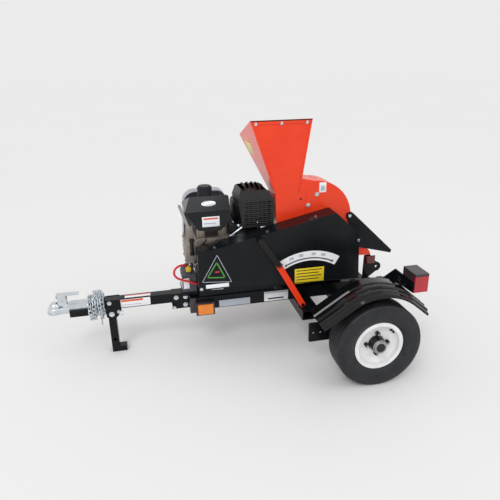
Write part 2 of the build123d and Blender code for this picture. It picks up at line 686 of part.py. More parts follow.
flap_top = 1140
flap_near = HOUSING_NEAR + hopper_t + 1
with BuildPart() as hopper_flap:
    with BuildSketch(side(flap_near + 4)):
        with BuildLine():
            Polyline((-448, flap_top), (-174, flap_top), (-192, 1010), (-402, 1010), close=True)
        make_face()
    extrude(amount=4)
hopper_flap.part.label = "hopper_flap"
export_step(hopper_flap.part, "parts/hopper_flap.step")

# ---------------------------------------------------------------- chip deflector
hood_gap, hood_t = 2.5, 3
hood_tip = (303, 447)
with BuildPart() as discharge_deflector:
    for y in (HOUSING_NEAR - hood_gap, HOUSING_FAR + hood_gap + hood_t):
        with BuildSketch(side(y)):
            with BuildLine():
                Polyline((36, 672), (72, 669), hood_tip, (299, 431), (115, 480), (36, 645),
                         close=True)
            make_face()
            with Locations(DEFLECTOR_PIVOT):
                Circle(18)
                Circle(5 + RUNNING, mode=Mode.SUBTRACT)
        extrude(amount=hood_t)
    with BuildSketch(side(HOUSING_FAR + hood_gap)):
        with BuildLine():
            Polyline((72, 669), hood_tip, (299, 431), (296, 431), (299.5, 446.5), (70, 666),
                     close=True)
        make_face()
    extrude(amount=HOUSING_FAR - HOUSING_NEAR + 2 * hood_gap)
discharge_deflector.part.label = "discharge_deflector"
export_step(discharge_deflector.part, "parts/discharge_deflector.step")

# ---------------------------------------------------------------- pedestal and rear post
post_near, post_t = -78, 8
post_eye = (228, 353)
with BuildPart() as housing_supports:
    box_between((-300, -80, RAIL_TOP), (26, 80, 520))
    box_between((-294, -74, RAIL_TOP), (20, 74, 520), mode=Mode.SUBTRACT)
    with BuildSketch(side(0)):
        with Locations((ROTOR[0], scroll_low)):
            Circle(scroll_r)
        with BuildLine():
            Polyline((ROTOR[0], 442), (60, 434.65), (60, 560), (ROTOR[0], 560), close=True)
        make_face()
    extrude(amount=100, both=True, mode=Mode.SUBTRACT)
    with BuildSketch(side(post_near + post_t)):
        with BuildLine():
            Polyline((152, RAIL_TOP), (183, RAIL_TOP), (228, 327), (228, 379), (190, 424),
                     (156, 424), close=True)
        make_face()
        with Locations(post_eye):
            Circle(26)
            Circle(7, mode=Mode.SUBTRACT)
    extrude(amount=post_t)
housing_supports.part.label = "housing_supports"
export_step(housing_supports.part, "parts/housing_supports.step")

# ================================================================ BELT DRIVE AND GUARD
guard_outline = [(-746, 564), (-65, 712), (61, 597), (72, 352), (-749, 374)]
guard_t = 2.5
with BuildPart() as belt_guard:
    with BuildSketch(side(GUARD_BACK)):
        with BuildLine():
            Polyline(*guard_outline, close=True)
        make_face()
    extrude(amount=GUARD_BACK - GUARD_NEAR)
    with BuildSketch(side(GUARD_BACK)):
        with BuildLine():
            Polyline(*guard_outline, close=True)
        make_face()
        offset(amount=-guard_t, kind=Kind.INTERSECTION, mode=Mode.REPLACE)
    extrude(amount=GUARD_BACK - GUARD_NEAR - guard_t, mode=Mode.SUBTRACT)
belt_guard.part.label = "belt_guard"
export_step(belt_guard.part, "parts/belt_guard.step")

idler_arm_pivot = (-280, 420)
idler_r = 30
run = hypot(ROTOR[0] - CRANK[0], ROTOR[1] - CRANK[1])
belt_dir = ((ROTOR[0] - CRANK[0]) / run, (ROTOR[1] - CRANK[1]) / run)
idler_reach = (ROTOR_PULLEY_R + ENGINE_PULLEY_R) / 2 + idler_r + GAP + 0.2
idler_at = (CRANK[0] + belt_dir[0] * run / 2 + belt_dir[1] * idler_reach,
            CRANK[1] + belt_dir[1] * run / 2 - belt_dir[0] * idler_reach)
back_t = 4
with BuildPart() as guard_back_plate:
    with BuildSketch(side(GUARD_BACK)):
        with BuildLine():
            Polyline(*guard_outline, close=True)
        make_face()
        offset(amount=-guard_t - 0.3, kind=Kind.INTERSECTION, mode=Mode.REPLACE)
        with Locations(ROTOR):
            Circle(64, mode=Mode.SUBTRACT)
        with Locations(CRANK):
            Circle(45, mode=Mode.SUBTRACT)
    extrude(amount=back_t)
    with BuildSketch(side(GUARD_BACK - back_t)):
        with Locations(idler_arm_pivot):
            Circle(8)
    extrude(amount=46)
guard_back_plate.part.label = "guard_back_plate"
export_step(guard_back_plate.part, "parts/guard_back_plate.step")


def sheave(middle_y, belt_r, bore_r, hub_r):
    """Grooved pulley profile above its axis: (y, radius) points of a V groove and a hub."""
    return [(middle_y - 11, bore_r), (middle_y - 11, belt_r + 2), (middle_y - 8.5, belt_r + 2),
            (middle_y - 5.5, belt_r - 11), (middle_y + 5.5, belt_r - 11),
            (middle_y + 8.5, belt_r + 2), (middle_y + 11, belt_r + 2), (middle_y + 11, hub_r),
            (middle_y + 22, hub_r), (middle_y + 22, bore_r)]


for name, centre, belt_r, bore_r, hub_r in (
        ("rotor_pulley", ROTOR, ROTOR_PULLEY_R, ROTOR_SHAFT_R, 28),
        ("engine_pulley", CRANK, ENGINE_PULLEY_R, CRANKSHAFT_R, 22)):
    with BuildPart() as pulley:
        with BuildSketch(across(centre[0])):
            with BuildLine():
                Polyline(*[(y, centre[1] + r) for y, r in sheave(BELT_Y, belt_r, bore_r, hub_r)],
                         close=True)
            make_face()
        revolve(axis=Axis((AXLE_X + centre[0], 0, centre[1]), (0, 1, 0)))
    pulley.part.label = name
    export_step(pulley.part, f"parts/{name}.step")

belt_half_width = 5
with BuildPart() as drive_belt:
    with BuildSketch(side(BELT_Y + belt_half_width)):
        for inset, mode in ((0, Mode.ADD), (9, Mode.SUBTRACT)):
            with BuildSketch(side(BELT_Y + belt_half_width), mode=Mode.PRIVATE) as loop:
                with Locations(CRANK):
                    Circle(ENGINE_PULLEY_R - inset)
                with Locations(ROTOR):
                    Circle(ROTOR_PULLEY_R - inset)
                make_hull()
            add(loop.sketch_local, mode=mode)
    extrude(amount=2 * belt_half_width)
drive_belt.part.label = "drive_belt"
export_step(drive_belt.part, "parts/drive_belt.step")

idler_near = BELT_Y - 11
with BuildPart() as idler_pulley:
    with BuildSketch(side(idler_near + 22)):
        with Locations(idler_at):
            Circle(idler_r)
            Circle(6 + RUNNING, mode=Mode.SUBTRACT)
    extrude(amount=22)
idler_pulley.part.label = "idler_pulley"
export_step(idler_pulley.part, "parts/idler_pulley.step")

arm_near, arm_t = -135, 6
arm_slope = degrees(atan2(idler_at[1] - idler_arm_pivot[1], idler_at[0] - idler_arm_pivot[0]))
arm_length = hypot(idler_at[0] - idler_arm_pivot[0], idler_at[1] - idler_arm_pivot[1])
with BuildPart() as idler_arm:
    with BuildSketch(side(arm_near + arm_t)):
        with Locations(((idler_at[0] + idler_arm_pivot[0]) / 2,
                        (idler_at[1] + idler_arm_pivot[1]) / 2)):
            SlotCenterToCenter(arm_length, 30, rotation=arm_slope)
        with Locations(idler_arm_pivot):
            Circle(8 + RUNNING, mode=Mode.SUBTRACT)
    extrude(amount=arm_t)
    with BuildSketch(side(arm_near)):
        with Locations(idler_at):
            Circle(6)
    extrude(amount=arm_near - idler_near + 2)
idler_arm.part.label = "idler_arm"
export_step(idler_arm.part, "parts/idler_arm.step")

# ---------------------------------------------------------------- clutch lever
lever_bend = (-364, 485)
lever_top = (-447, 608)
lever_t, lever_width, grip_width = 6, 30, 28


def bar_between(a, b, width):
    """A flat bar with round ends, drawn on the current side plane."""
    with Locations(((a[0] + b[0]) / 2, (a[1] + b[1]) / 2)):
        SlotCenterToCenter(hypot(b[0] - a[0], b[1] - a[1]), width,
                           rotation=degrees(atan2(b[1] - a[1], b[0] - a[0])))


with BuildPart() as clutch_lever:
    with BuildSketch(side(LEVER_Y + lever_t / 2)):
        bar_between(LEVER_PIVOT, lever_bend, lever_width)
        with Locations(LEVER_PIVOT):
            Circle(lever_bolt_r + RUNNING, mode=Mode.SUBTRACT)
    extrude(amount=lever_t)
clutch_lever.part.label = "clutch_lever"
export_step(clutch_lever.part, "parts/clutch_lever.step")

with BuildPart() as lever_grip:
    with BuildSketch(side(LEVER_Y + 9)):
        bar_between(lever_bend, lever_top, grip_width)
    extrude(amount=18)
    with BuildSketch(side(LEVER_Y + lever_t / 2)):
        bar_between(LEVER_PIVOT, lever_bend, lever_width)
    extrude(amount=lever_t, mode=Mode.SUBTRACT)
lever_grip.part.label = "lever_grip"
export_step(lever_grip.part, "parts/lever_grip.step")

# ================================================================ ENGINE
base_top, base_out = 382, 92
base_front, base_rear = -740, -350
with BuildPart() as engine_base:
    box_between((base_front, -base_out, RAIL_TOP), (base_rear, base_out, base_top))
    box_between((base_front, 6 - base_out, RAIL_TOP), (base_rear, base_out - 6, base_top - 6),
                mode=Mode.SUBTRACT)
    box_between((-704, -84, 336), (-640, -50, base_top - 6))        # the starter's solenoid
engine_base.part.label = "engine_base"
export_step(engine_base.part, "parts/engine_base.step")

block_near, block_far = -78, 110
throttle_pivot = (-770, 648)
with BuildPart() as engine_block:
    box_between((-745, block_near, base_top + 16), (-540, block_far, 600))
    fillet(engine_block.edges().filter_by(Axis.Y), 9)
    box_between((-735, -72, base_top), (-555, 90, base_top + 16))
    box_between((-792, -60, 470), (-745, 60, 590))
    box_between((-540, -50, 455), (-396, 75, 600))
    for i in range(13):                                 # cooling fins of the cylinder
        for low, high in (((-530 + i * 10, -51, 454), (-525 + i * 10, -38, 601)),
                          ((-530 + i * 10, 63, 454), (-525 + i * 10, 76, 601)),
                          ((-530 + i * 10, -51, 590), (-525 + i * 10, 76, 601)),
                          ((-530 + i * 10, -51, 454), (-525 + i * 10, 76, 465))):
            box_between(low, high, mode=Mode.SUBTRACT)
    with BuildSketch(side(block_near)):                 # cover over the crank bearing
        with Locations(CRANK):
            Circle(72)
    extrude(amount=8)
    with BuildSketch(side(block_near - 8)):
        with Locations(CRANK):
            with PolarLocations(62, 6, start_angle=30):
                RegularPolygon(6, 6)
    extrude(amount=4)
    with BuildSketch(side(0)):
        with Locations(CRANK):
            Circle(CRANKSHAFT_R + RUNNING)
    extrude(amount=200, both=True, mode=Mode.SUBTRACT)
    box_between((-786, -60, 590), (-752, -55, 662))     # bracket and pin of the throttle lever
    with BuildSketch(side(-60)):
        with Locations(throttle_pivot):
            Circle(4)
    extrude(amount=12)
engine_block.part.label = "engine_block"
export_step(engine_block.part, "parts/engine_block.step")

with BuildPart() as crankshaft:
    with BuildSketch(side(172)):
        with Locations(CRANK):
            Circle(CRANKSHAFT_R)
    extrude(amount=172 - BELT_Y + 16)
crankshaft.part.label = "crankshaft"
export_step(crankshaft.part, "parts/crankshaft.step")

with BuildPart() as flywheel:
    with BuildSketch(side(150)):
        with Locations(CRANK):
            Circle(92)
            Circle(CRANKSHAFT_R, mode=Mode.SUBTRACT)
    extrude(amount=18)
    with BuildSketch(side(166)):
        with Locations(CRANK):
            with PolarLocations(70, 16):
                Rectangle(34, 5)
    extrude(amount=16)
flywheel.part.label = "flywheel"
export_step(flywheel.part, "parts/flywheel.step")

blower_near, blower_far = 112, 182
with BuildPart() as blower_housing:
    for t, start, mode in ((0, blower_far, Mode.ADD), (4, blower_far - 4, Mode.SUBTRACT)):
        with BuildSketch(side(start)) as scroll:
            with Locations(CRANK):
                Circle(148 - t)
            with Locations((-714, 730)):
                Circle(60 - t)
            with Locations((-602, 742)):
                Circle(48 - t)
            make_hull()
        extrude(scroll.sketch, amount=start - blower_near, mode=mode)
    with BuildSketch(side(blower_far)) as eye:
        with Locations(CRANK):
            Circle(70)
    extrude(eye.sketch, amount=4, mode=Mode.SUBTRACT)
blower_housing.part.label = "blower_housing"
export_step(blower_housing.part, "parts/blower_housing.step")

with BuildPart() as recoil_starter:
    with BuildSketch(across(CRANK[0])):
        with BuildLine():
            Polyline(*[(y, CRANK[1] + r) for y, r in [
                (blower_far, 94), (blower_far + 12, 94), (blower_far + 30, 70), (blower_far + 34, 0),
                (blower_far + 30, 0), (blower_far + 27, 67), (blower_far + 10, 90),
                (blower_far, 90)]], close=True)
        make_face()
    revolve(axis=Axis((AXLE_X + CRANK[0], 0, CRANK[1]), (0, 1, 0)))
    with BuildSketch(side(blower_far + 60)):
        with Locations(CRANK):
            with PolarLocations(44, 8):
                SlotOverall(36, 8)
    extrude(amount=50, mode=Mode.SUBTRACT)
recoil_starter.part.label = "recoil_starter"
export_step(recoil_starter.part, "parts/recoil_starter.step")

pull_angle = 122                                        # way the starter rope is pulled
pull_dir = (cos(radians(pull_angle)), sin(radians(pull_angle)))
grip_at = (CRANK[0] + 128 * pull_dir[0], CRANK[1] + 128 * pull_dir[1])
with BuildPart() as recoil_handle:
    with BuildSketch(side(blower_far + 30)):
        with Locations(grip_at):
            RectangleRounded(22, 78, 9, rotation=pull_angle)
    extrude(amount=20)
    with BuildSketch(side(blower_far + 25)):
        with Locations((grip_at[0] - 19 * pull_dir[0], grip_at[1] - 19 * pull_dir[1])):
            Rectangle(22, 12, rotation=pull_angle)
    extrude(amount=10)
recoil_handle.part.label = "recoil_handle"
export_step(recoil_handle.part, "parts/recoil_handle.step")

tank_near, tank_far, tank_top = -92, 92, 799.5
cap_at, neck_top = (-676, 0), 800
with BuildPart() as fuel_tank:
    with BuildSketch(side(tank_far)) as tank_front:
        with BuildLine():
            Polyline((-756, tank_top), (-786, 740), (-724, 645), (-617, 638), (-570, 690),
                     (-565, tank_top), close=True)
        make_face()
        fillet(tank_front.vertices(), 10)
    with BuildSketch(across(-800)) as tank_side:
        with BuildLine():
            Polyline((tank_near, 635), (tank_near, 739), (tank_near + 58, tank_top),
                     (tank_far, 751), (tank_far, 635), close=True)
        make_face()
    deep = extrude(tank_front.sketch, amount=tank_far - tank_near, mode=Mode.PRIVATE)
    wide = extrude(tank_side.sketch, amount=260, mode=Mode.PRIVATE)
    add(deep & wide)
    with BuildSketch(level(720)) as neck:
        with Locations(cap_at):
            Circle(34)
    extrude(neck.sketch, amount=neck_top - 720)
fuel_tank.part.label = "fuel_tank"
export_step(fuel_tank.part, "parts/fuel_tank.step")

cap_skirt = 38
with BuildPart() as fuel_cap:
    with BuildSketch(level(neck_top + GAP)):
        with Locations(cap_at):
            Circle(36)
            with PolarLocations(37, 14):
                Circle(3.5, mode=Mode.SUBTRACT)
    extrude(amount=cap_skirt)
    with BuildSketch(level(neck_top + GAP + cap_skirt)):
        with Locations(cap_at):
            Circle(31)
    extrude(amount=6, taper=20)
fuel_cap.part.label = "fuel_cap"
export_step(fuel_cap.part, "parts/fuel_cap.step")

with BuildPart() as air_cleaner:
    box_between((-524, 84, 604), (-385, 178, 742))
    fillet(air_cleaner.edges().filter_by(Axis.Y), 26)
    fillet(air_cleaner.faces().sort_by(Axis.Y)[-1].edges(), 8)
air_cleaner.part.label = "air_cleaner"
export_step(air_cleaner.part, "parts/air_cleaner.step")

muffler_at, muffler_r = (-440, 742), 70
with BuildPart() as muffler:
    with BuildSketch(side(70)):
        with Locations(muffler_at):
            Circle(muffler_r)
    extrude(amount=145)
    fillet(muffler.edges().filter_by(GeomType.CIRCLE), 10)
    box_between((-470, -20, 600), (-420, 20, 690))
muffler.part.label = "muffler"
export_step(muffler.part, "parts/muffler.step")

cage_near, cage_far, cage_t = -90, 80, 2.5
cage_front_view = [(-508, 640), (-527, 778), (-512, 822), (-478, 843), (-420, 843), (-372, 815),
                   (-354, 778), (-350, 640)]
cage_side_view = [(cage_near, 640), (cage_near, 778), (-72, 820), (-36, 843), (30, 843), (70, 822),
                  (cage_far, 780), (cage_far, 640)]


def cage_body(t):
    """The domed space inside the guard's outline, t inside every face."""
    solids = []
    for plane, outline, reach in ((side(cage_far + 20), cage_front_view, 220),
                                  (across(-560), cage_side_view, 240)):
        with BuildSketch(plane) as view:
            with BuildLine():
                Polyline(*outline, close=True)
            make_face()
            if t:
                offset(amount=-t, kind=Kind.INTERSECTION, mode=Mode.REPLACE)
        solids.append(extrude(view.sketch, amount=reach, mode=Mode.PRIVATE))
    return solids[0] & solids[1]


with BuildPart() as muffler_guard:
    add(cage_body(0))
    add(cage_body(cage_t), mode=Mode.SUBTRACT)
    for i in range(6):                                  # rows of windows in front and at the side
        z = 654 + 20 * i
        box_between((-498, cage_near - 1, z), (-364, cage_near + 4, z + 14), mode=Mode.SUBTRACT)
        box_between((-535, cage_near + 16, z), (-500, cage_far - 16, z + 14), mode=Mode.SUBTRACT)
    for i in range(6):                                  # slots that run back over the dome
        x = -505 + 24 * i
        box_between((x, -70, 786), (x + 17, 56, 850), mode=Mode.SUBTRACT)
    box_between((-490, -40, 639), (-408, 40, 644), mode=Mode.SUBTRACT)
    for x in (-504, -404):                              # feet on the cylinder
        box_between((x, -20, 600), (x + 3, 20, 641))
    for i in range(5):                                  # bars that cross the windows
        x = -477 + 22 * i
        box_between((x, cage_near, 645), (x + 4, cage_near + cage_t, 775))
muffler_guard.part.label = "muffler_guard"
export_step(muffler_guard.part, "parts/muffler_guard.step")

with BuildPart() as throttle_lever:
    with BuildSketch(side(-66)):
        bar_between(throttle_pivot, (-808, 768), 14)
        with Locations(throttle_pivot):
            Circle(4 + RUNNING, mode=Mode.SUBTRACT)
    extrude(amount=3)
throttle_lever.part.label = "throttle_lever"
export_step(throttle_lever.part, "parts/throttle_lever.step")

# ================================================================ BATTERY AND LEADS
battery_top = 410
terminals = [(-783, -44), (-783, 44)]
with BuildPart() as battery:
    box_between((battery_front, -battery_half, battery_low), (battery_rear, battery_half, 396))
    box_between((battery_front + 3, 3 - battery_half, 396),
                (battery_rear - 3, battery_half - 3, battery_top))
    with BuildSketch(level(battery_top)):
        with Locations(*terminals):
            RectangleRounded(24, 22, 4)
    extrude(amount=16)
battery.part.label = "battery"
export_step(battery.part, "parts/battery.step")


def lead(points, radius):
    """A cable along straight runs, each corner rounded as far as its two runs allow."""
    places = [Vector(AXLE_X + x, y, z) for x, y, z in points]
    bends = []
    for before, corner, after in zip(places, places[1:], places[2:]):
        arriving, leaving = corner - before, after - corner
        half_turn = radians(arriving.get_angle(leaving)) / 2
        bends.append(0.45 * min(arriving.length, leaving.length) / tan(half_turn))
    print("bend radii", [round(b) for b in bends])
    with BuildLine() as route:
        FilletPolyline(*places, radius=bends)
    with BuildSketch(Plane(origin=places[0], z_dir=places[1] - places[0])) as section:
        Circle(radius)
    sweep(section.sketch, path=route.wire())


cap_top = battery_top + 16
red_lead_r, black_lead_r = 5.5, 4.5
with BuildPart() as red_lead:
    lead([(-783, -44, cap_top), (-783, -44, 443), (-801, -50, 460), (-832, -60, 461),
          (-855, -70, 446), (-858, -79, 422), (-840, -85, 403), (-812, -87, 392),
          (-782, -83, 379), (-757, -76, 363), (-731, -67, 356), (-704, -67, 356)], red_lead_r)
red_lead.part.label = "red_lead"
export_step(red_lead.part, "parts/red_lead.step")

with BuildPart() as black_lead:
    lead([(-783, 44, cap_top), (-783, 44, 443), (-775, 37, 457), (-760, 30, 459),
          (-745, 30, 459)], black_lead_r)
black_lead.part.label = "black_lead"
export_step(black_lead.part, "parts/black_lead.step")

# ================================================================ BOLTS
top_slope = atan2(guard_outline[1][1] - guard_outline[0][1],
                  guard_outline[1][0] - guard_outline[0][0])
with BuildPart() as bolts:
    for face, towards in ((-plate_face, -1), (plate_face, 1)):
        hex_bolts([(-854, 276), (-806, 276), (-808, 232)], face, 9, 7, towards)
    for face, towards in ((-stand_face, -1), (stand_face, 1)):
        hex_bolts([STAND_PIVOT], face, 10, 7, towards)
    hex_bolts([(-1186, 284)], -stand_face, 8, 6, -1)
    with BuildSketch(side(stand_face)) as stand_bolt:
        with Locations(STAND_PIVOT):
            Circle(6)
    extrude(stand_bolt.sketch, amount=2 * stand_face)
    hex_bolts([(-128, 783), (-172, 730)], HOUSING_NEAR, 8, 6, -1)
    hex_bolts([(-436, 1135), (-312, 1135), (-188, 1135)], HOUSING_NEAR, 7, 5, -1)
    hood_face = hood_gap + hood_t + 1
    for face, sign in ((HOUSING_NEAR, -1), (HOUSING_FAR, 1)):
        with BuildSketch(side(face)) as hood_bolt:
            with Locations(DEFLECTOR_PIVOT):
                Circle(5)
        extrude(hood_bolt.sketch, amount=-sign * hood_face)
        with BuildSketch(side(face + sign * hood_face)) as hood_bolt_head:
            with Locations(DEFLECTOR_PIVOT):
                RegularPolygon(9, 6)
        extrude(hood_bolt_head.sketch, amount=-sign * 6)
    hex_bolts([(-738, 384), (60, 560)], GUARD_NEAR, 6, 4, -1)
    for share in (0.12, 0.5, 0.86):
        x = guard_outline[0][0] + share * (guard_outline[1][0] - guard_outline[0][0])
        z = guard_outline[0][1] + share * (guard_outline[1][1] - guard_outline[0][1])
        flange = Plane(origin=(AXLE_X + x, -165, z), x_dir=(0, 1, 0),
                       z_dir=(-sin(top_slope), 0, cos(top_slope)))
        with BuildSketch(flange) as guard_bolt:
            RegularPolygon(7, 6)
        extrude(guard_bolt.sketch, amount=5)
bolts.part.label = "bolts"
export_step(bolts.part, "parts/bolts.step")
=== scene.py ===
import json
from math import atan, atan2, cos, degrees, hypot, radians, sin

import bpy
from mathutils import Euler, Matrix, Vector


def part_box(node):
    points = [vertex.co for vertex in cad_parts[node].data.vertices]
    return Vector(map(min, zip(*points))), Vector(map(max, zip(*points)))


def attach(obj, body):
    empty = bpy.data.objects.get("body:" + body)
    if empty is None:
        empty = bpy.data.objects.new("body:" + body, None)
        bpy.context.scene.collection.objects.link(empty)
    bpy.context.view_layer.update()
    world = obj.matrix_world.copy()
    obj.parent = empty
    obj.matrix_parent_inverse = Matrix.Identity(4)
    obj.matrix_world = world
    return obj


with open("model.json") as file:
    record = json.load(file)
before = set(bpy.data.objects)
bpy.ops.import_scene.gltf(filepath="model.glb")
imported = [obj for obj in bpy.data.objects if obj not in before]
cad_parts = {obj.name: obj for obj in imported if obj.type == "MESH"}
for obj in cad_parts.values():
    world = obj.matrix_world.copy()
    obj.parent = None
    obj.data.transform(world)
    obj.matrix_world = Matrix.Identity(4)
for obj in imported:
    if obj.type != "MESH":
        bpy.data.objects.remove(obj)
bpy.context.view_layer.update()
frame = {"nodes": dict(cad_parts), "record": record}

AXLE_X = 592                    # mm, the axle's place along the machine
MM = 0.001
FILM = 0.5                      # mm, the thickness of a vinyl label
FILM_EDGE = 0.12                # mm, the bevel round a small label


def at(x, y, z):
    """A point in metres from millimetres, with X stated from the axle."""
    return Vector(((AXLE_X + x) * MM, y * MM, z * MM))


# ================================================================ materials
def linear(hex_colour):
    """An sRGB hex colour as linear light."""
    values = [int(hex_colour[i:i + 2], 16) / 255 for i in (1, 3, 5)]
    return [v / 12.92 if v <= 0.04045 else ((v + 0.055) / 1.055) ** 2.4 for v in values] + [1.0]


def add_node(tree, kind, inputs=None, **settings):
    """Adds one shader node, sets its properties, and fills or links its inputs."""
    made = tree.nodes.new(kind)
    for name, value in settings.items():
        setattr(made, name, value)
    for name, value in (inputs or {}).items():
        if isinstance(value, bpy.types.NodeSocket):
            tree.links.new(value, made.inputs[name])
        else:
            made.inputs[name].default_value = value
    return made


def surface(name, colour, shade, roughness, grain, depth, metallic=0.0, coat=0.0, spread=90,
            swing=0.06, cells=False, stretch=(1, 1, 1), ior=1.5):
    """A finish whose colour drifts from colour to shade over spread mm.

    The grain is the size in mm of the surface's own texture and depth its height; swing is how
    far the roughness wanders. With cells the grain is crystals or prisms, not a soft noise.
    """
    material = bpy.data.materials.new(name)
    material.use_nodes = True
    tree = material.node_tree
    shader = tree.nodes["Principled BSDF"]
    place = add_node(tree, "ShaderNodeTexCoord").outputs["Object"]
    drift = add_node(tree, "ShaderNodeTexNoise",
                     {"Vector": place, "Scale": 1000 / spread, "Detail": 4.0, "Roughness": 0.6})
    tone = add_node(tree, "ShaderNodeMapRange",
                    {"Value": drift.outputs["Fac"], "From Min": 0.35, "From Max": 0.68})
    base = add_node(tree, "ShaderNodeMix", {"Factor": tone.outputs["Result"]}, data_type="RGBA")
    base.inputs[6].default_value = linear(colour)
    base.inputs[7].default_value = linear(shade)
    tree.links.new(base.outputs[2], shader.inputs["Base Color"])
    stretched = add_node(tree, "ShaderNodeMapping", {"Vector": place, "Scale": stretch})
    if cells:
        texture = add_node(tree, "ShaderNodeTexVoronoi",
                           {"Vector": stretched.outputs["Vector"], "Scale": 1000 / grain},
                           distance="CHEBYCHEV" if cells == "square" else "EUCLIDEAN")
        height = texture.outputs["Distance"]
    else:
        texture = add_node(tree, "ShaderNodeTexNoise",
                           {"Vector": stretched.outputs["Vector"], "Scale": 1000 / grain,
                            "Detail": 3.0})
        height = texture.outputs["Fac"]
    polish = add_node(tree, "ShaderNodeMapRange",
                      {"Value": height, "To Min": max(roughness - swing, 0.02),
                       "To Max": min(roughness + swing, 1.0)})
    tree.links.new(polish.outputs["Result"], shader.inputs["Roughness"])
    relief = add_node(tree, "ShaderNodeBump",
                      {"Height": height, "Strength": 0.6, "Distance": depth * MM})
    tree.links.new(relief.outputs["Normal"], shader.inputs["Normal"])
    shader.inputs["Metallic"].default_value = metallic
    shader.inputs["Coat Weight"].default_value = coat
    shader.inputs["Coat Roughness"].default_value = 0.08
    if not metallic:
        shader.inputs["IOR"].default_value = ior
    material.diffuse_color = linear(colour)
    return material


# Powder-coated steel: a plastic film baked on, glossy, with a faint orange peel.
black_coat = surface("powder_coated_steel_black", "#0e1013", "#14171b", 0.24, 2.2, 0.03,
                     swing=0.03, ior=1.28)
# The fenders' coat is the same black, sprayed wetter, so it shines like lacquer.
gloss_black = surface("lacquered_steel_black", "#08090b", "#0c0d10", 0.09, 2.6, 0.02,
                      coat=0.25, swing=0.02, ior=1.3)
# High-density polyethylene tank, moulded black with a soft shine.
tank_black = surface("moulded_polyethylene_black", "#101215", "#15181c", 0.22, 3.0, 0.04,
                     swing=0.04, ior=1.35)
# The same coating in orange-red on the housing and the hopper.
orange_coat = surface("powder_coated_steel_orange", "#f0431f", "#e83a19", 0.26, 2.2, 0.04,
                      coat=0.12, spread=160, ior=1.35)
# Stamped wheel steel sprayed with white enamel, a little road dust on it.
white_enamel = surface("enamelled_steel_white", "#f3f4f4", "#dfe0df", 0.3, 3.0, 0.04, coat=0.2)
# Zinc electroplate: bluish and bright, with small crystals that scatter the shine.
zinc_plate = surface("zinc_plated_steel", "#dfe5e9", "#c2c9d0", 0.27, 3.5, 0.03, metallic=1.0,
                     cells=True, swing=0.12)
# Steel turned on a lathe and left bare: fine rings round the part.
turned_steel = surface("turned_steel", "#b9b8b4", "#8f8d89", 0.28, 0.9, 0.02, metallic=1.0)
# Hardened knife steel ground flat, with the grinding lines along it.
ground_steel = surface("ground_tool_steel", "#a9aaad", "#8b8c90", 0.25, 0.8, 0.02,
                       metallic=1.0, stretch=(1, 1, 8))
# Sand-cast iron under a thin black paint: coarse skin, half matt.
cast_iron = surface("painted_cast_iron", "#1c1d20", "#131417", 0.42, 1.6, 0.18, ior=1.4)
# Die-cast aluminium, unpainted: warm grey with a dull skin.
die_cast = surface("die_cast_aluminium", "#b3a89d", "#8d837b", 0.45, 2.0, 0.12, metallic=0.75)
# Pressed steel sprayed a cool grey over the blower and the starter.
grey_coat = surface("sprayed_steel_grey", "#a3a1af", "#8c8b98", 0.35, 2.4, 0.05, coat=0.15)
# Vulcanised rubber of the tyres: carbon black, matt, dusted in the valleys.
tyre_rubber = surface("vulcanised_tyre_rubber", "#26272c", "#1a1b1f", 0.5, 1.4, 0.1, spread=40,
                      ior=1.4)
# Moulded sheet and cable rubber.
sheet_rubber = surface("moulded_rubber", "#1c1d1f", "#131416", 0.62, 1.8, 0.08)
# Soft PVC round the battery's live cable.
red_pvc = surface("red_pvc_sheath", "#d8333c", "#c3262f", 0.33, 2.5, 0.03)
# Dipped vinyl on the lever: soft shine, slightly lumpy.
dipped_vinyl = surface("dipped_vinyl_black", "#121113", "#191719", 0.32, 6.0, 0.2, ior=1.35)
# Glass-filled nylon: fine spark-eroded texture from its mould.
nylon = surface("moulded_nylon_black", "#1c1d21", "#151619", 0.45, 0.9, 0.08, ior=1.4)
# ABS lamp bodies.
lamp_abs = surface("moulded_abs_lamp", "#40343b", "#352b31", 0.3, 1.5, 0.03)
# Moulded acrylic lenses, with square prisms 5 mm wide on their face.
red_acrylic = surface("moulded_acrylic_red", "#c0172c", "#a30f22", 0.12, 5.0, 0.5, coat=0.5,
                      cells="square", ior=1.49)
amber_acrylic = surface("moulded_acrylic_amber", "#f28c1c", "#e27812", 0.14, 6.0, 0.6,
                        coat=0.5, cells="square", ior=1.49)
# Polypropylene battery case: waxy and matt.
battery_case = surface("polypropylene_case", "#4b4c56", "#3e3f49", 0.48, 1.6, 0.05)
# Heat-resisting enamel on pressed steel, burnt a little brown.
stove_enamel = surface("heat_resisting_enamel", "#1b1b1d", "#27211f", 0.42, 1.5, 0.1, ior=1.4)
# Printed vinyl film.
white_vinyl = surface("printed_vinyl_white", "#f2f2f5", "#e8e9ee", 0.35, 4.0, 0.01)
grey_vinyl = surface("printed_vinyl_grey", "#b9bfcb", "#adb4c2", 0.35, 4.0, 0.01)
yellow_vinyl = surface("printed_vinyl_yellow", "#e8cf1e", "#dcc116", 0.35, 4.0, 0.01)
pale_vinyl = surface("printed_vinyl_pale_yellow", "#e6df8c", "#d9d27f", 0.4, 4.0, 0.01)
orange_vinyl = surface("printed_vinyl_orange", "#e2613c", "#d65a37", 0.35, 4.0, 0.01)
green_vinyl = surface("printed_vinyl_green", "#4f9a3c", "#478c36", 0.35, 4.0, 0.01)
black_vinyl = surface("printed_vinyl_black", "#202226", "#2a2c31", 0.35, 4.0, 0.01)
red_vinyl = surface("printed_vinyl_red", "#c92a2f", "#b62429", 0.35, 4.0, 0.01)
# Dark red on the rear post, a painted shade: it stands for the orange housing's lower lip lying in
# shadow; and the dark red-brown of the lever's socket.
painted_shade_red = surface("glossy_red_painted_shade", "#7d0f12", "#5c0a0d", 0.12, 4.0, 0.1, coat=0.5,
                   cells="square")
socket_red_brown = surface("red_brown_socket", "#5e2a26", "#48201d", 0.35, 2.0, 0.03)
